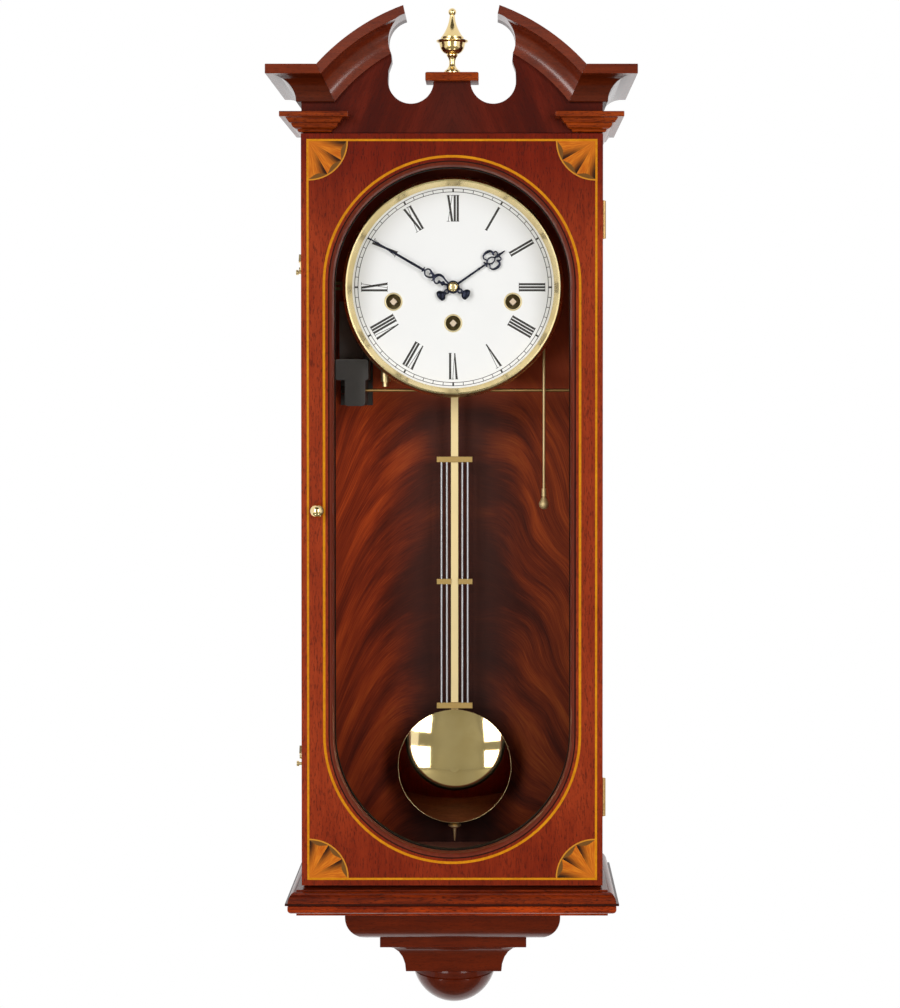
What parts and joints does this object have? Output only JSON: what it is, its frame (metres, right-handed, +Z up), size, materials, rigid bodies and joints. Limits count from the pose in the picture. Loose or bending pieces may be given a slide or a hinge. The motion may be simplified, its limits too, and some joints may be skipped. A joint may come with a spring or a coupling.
{
  "type": "pendulum wall clock",
  "caption": "Wall clock in a glazed mahogany case with swan-neck pediment, brass finial, inlaid door, round dial, gridiron-style pendulum and chime rods; hangs from a keyhole plate.",
  "frame": {"origin": "centre of the hanger plate's keyhole, on the wall plane", "axes": "+X to the viewer's right, +Y into the wall, +Z up; the front faces -Y"},
  "size_m": [0.29, 0.152, 0.8116],
  "materials": {
    "mahogany": "polished satin varnish",
    "flame_mahogany": "figured veneer under varnish",
    "boxwood": "inlaid, varnished",
    "shaded_veneer": "sand-shaded inlay, varnished",
    "brass": "polished, lacquered",
    "plate_brass": "brushed",
    "blued_steel": "blued, satin",
    "steel": "bright drawn",
    "dial_white": "matt enamel paint",
    "cast_iron": "black paint",
    "glass": "clear",
    "seal": "matt dark"
  },
  "bodies": {
    "case": {"case_side_left": "mahogany", "case_side_right": "mahogany", "case_top": "mahogany", "case_bottom": "mahogany", "pediment_board": "mahogany", "arch_mouldings": "mahogany", "cornices": "mahogany", "capitals": "mahogany", "finial_plinth": "mahogany", "base_mouldings": "mahogany", "base_board": "mahogany", "drop_block": "mahogany", "drop_cove": "mahogany", "drop_bun": "mahogany", "back_panel": "flame_mahogany", "finial": "brass", "hinge_case_leaves": "brass", "bezel": "brass", "winding_bushes": "brass", "chime_rods": "brass", "wood_screws": "brass", "front_plate": "plate_brass", "back_plate": "plate_brass", "movement_pillars": "plate_brass", "spring_barrels": "plate_brass", "suspension_cock": "plate_brass", "hanger_plate": "steel", "dial": "dial_white", "chime_rod_block": "cast_iron"},
    "door": {"door_frame": "mahogany", "door_bead": "mahogany", "door_stringing": "boxwood", "corner_fans": "shaded_veneer", "door_glass": "glass", "glass_retainer": "seal", "door_knob": "brass", "hinge_door_leaves": "brass", "latch_studs": "brass"},
    "latch_hook_upper": {"latch_hook_upper": "brass"},
    "latch_hook_lower": {"latch_hook_lower": "brass"},
    "minute_set": {"minute_hand": "blued_steel", "cannon_pinion": "plate_brass", "hand_nut": "brass"},
    "hour_set": {"hour_hand": "blued_steel", "hour_wheel": "plate_brass"},
    "minute_wheel": {"minute_wheel": "plate_brass"},
    "pendulum": {"pendulum_rod": "brass", "gridiron": "brass", "pendulum_bob": "brass"},
    "rating_nut": {"rating_nut": "brass"},
    "pallets": {"pallet_anchor": "steel"},
    "escape_wheel": {"escape_wheel": "steel"},
    "third_wheel": {"third_wheel": "plate_brass"},
    "centre_wheel": {"centre_wheel": "plate_brass"},
    "going_barrel": {"going_barrel": "plate_brass"},
    "winding_strike": {"winding_arbor_strike": "steel"},
    "winding_going": {"winding_arbor_going": "steel"},
    "winding_chime": {"winding_arbor_chime": "steel"},
    "hammers": {"strike_hammers": "brass"},
    "chime_silent_pull": {"chime_silent_pull": "brass"}
  },
  "joints": [
    {"name": "door_swing", "type": "hinge", "parent": "case", "child": "door", "pos_m": [0.1203, -0.1125, -0.277], "axis": [0, 0, 1], "range_deg": [0, 115]},
    {"name": "latch_upper_swing", "type": "hinge", "parent": "case", "child": "latch_hook_upper", "pos_m": [-0.1206, -0.106, -0.086], "axis": [-1, 0, 0], "range_deg": [-30, 60]},
    {"name": "latch_lower_swing", "type": "hinge", "parent": "case", "child": "latch_hook_lower", "pos_m": [-0.1206, -0.106, -0.476], "axis": [-1, 0, 0], "range_deg": [-30, 60]},
    {"name": "minute_hand_turn", "type": "hinge", "parent": "case", "child": "minute_set", "pos_m": [0, -0.083, -0.099], "axis": [0, 1, 0], "continuous": true},
    {"name": "minute_wheel_turn", "type": "hinge", "parent": "case", "child": "minute_wheel", "pos_m": [0.012, -0.0766, -0.099], "axis": [0, 1, 0], "continuous": true},
    {"name": "hour_hand_turn", "type": "hinge", "parent": "case", "child": "hour_set", "pos_m": [0, -0.0798, -0.099], "axis": [0, 1, 0], "continuous": true},
    {"name": "pendulum_swing", "type": "hinge", "parent": "case", "child": "pendulum", "pos_m": [0, -0.03, -0.051], "axis": [0, 1, 0], "range_deg": [-4, 4]},
    {"name": "pallet_rock", "type": "hinge", "parent": "case", "child": "pallets", "pos_m": [0, -0.047, -0.051], "axis": [0, 1, 0], "range_deg": [-4, 4]},
    {"name": "escape_wheel_turn", "type": "hinge", "parent": "case", "child": "escape_wheel", "pos_m": [0, -0.047, -0.06523], "axis": [0, 1, 0], "continuous": true},
    {"name": "third_wheel_turn", "type": "hinge", "parent": "case", "child": "third_wheel", "pos_m": [-0.01, -0.0596, -0.08168], "axis": [0, 1, 0], "continuous": true},
    {"name": "centre_wheel_turn", "type": "hinge", "parent": "case", "child": "centre_wheel", "pos_m": [0, -0.051, -0.099], "axis": [0, 1, 0], "continuous": true},
    {"name": "going_barrel_turn", "type": "hinge", "parent": "case", "child": "going_barrel", "pos_m": [0, -0.062, -0.1281], "axis": [0, 1, 0], "continuous": true},
    {"name": "wind_strike", "type": "hinge", "parent": "case", "child": "winding_strike", "pos_m": [-0.0484, -0.06, -0.1107], "axis": [0, 1, 0], "continuous": true},
    {"name": "wind_going", "type": "hinge", "parent": "case", "child": "winding_going", "pos_m": [0, -0.06, -0.1281], "axis": [0, 1, 0], "continuous": true},
    {"name": "wind_chime", "type": "hinge", "parent": "case", "child": "winding_chime", "pos_m": [0.0484, -0.06, -0.1107], "axis": [0, 1, 0], "continuous": true},
    {"name": "hammer_lift", "type": "hinge", "parent": "case", "child": "hammers", "pos_m": [-0.028, -0.058, -0.152], "axis": [0, 1, 0], "range_deg": [0, 12]},
    {"name": "chime_silent_slide", "type": "slide", "parent": "case", "child": "chime_silent_pull", "axis": [0, 0, -1], "range_m": [0, 0.005]},
    {"name": "rating_nut_turn", "type": "hinge", "parent": "pendulum", "child": "rating_nut", "pos_m": [0, -0.03, -0.5489], "axis": [0, 0, 1], "continuous": true}
  ],
  "couplings": [
    {"joint": "minute_wheel_turn", "follows": "minute_hand_turn", "ratio": -0.33333},
    {"joint": "hour_hand_turn", "follows": "minute_hand_turn", "ratio": 0.083333},
    {"joint": "pallet_rock", "follows": "pendulum_swing", "ratio": 1},
    {"joint": "third_wheel_turn", "follows": "escape_wheel_turn", "ratio": -0.1},
    {"joint": "centre_wheel_turn", "follows": "escape_wheel_turn", "ratio": 0.011111},
    {"joint": "going_barrel_turn", "follows": "escape_wheel_turn", "ratio": -0.0018519}
  ]
}
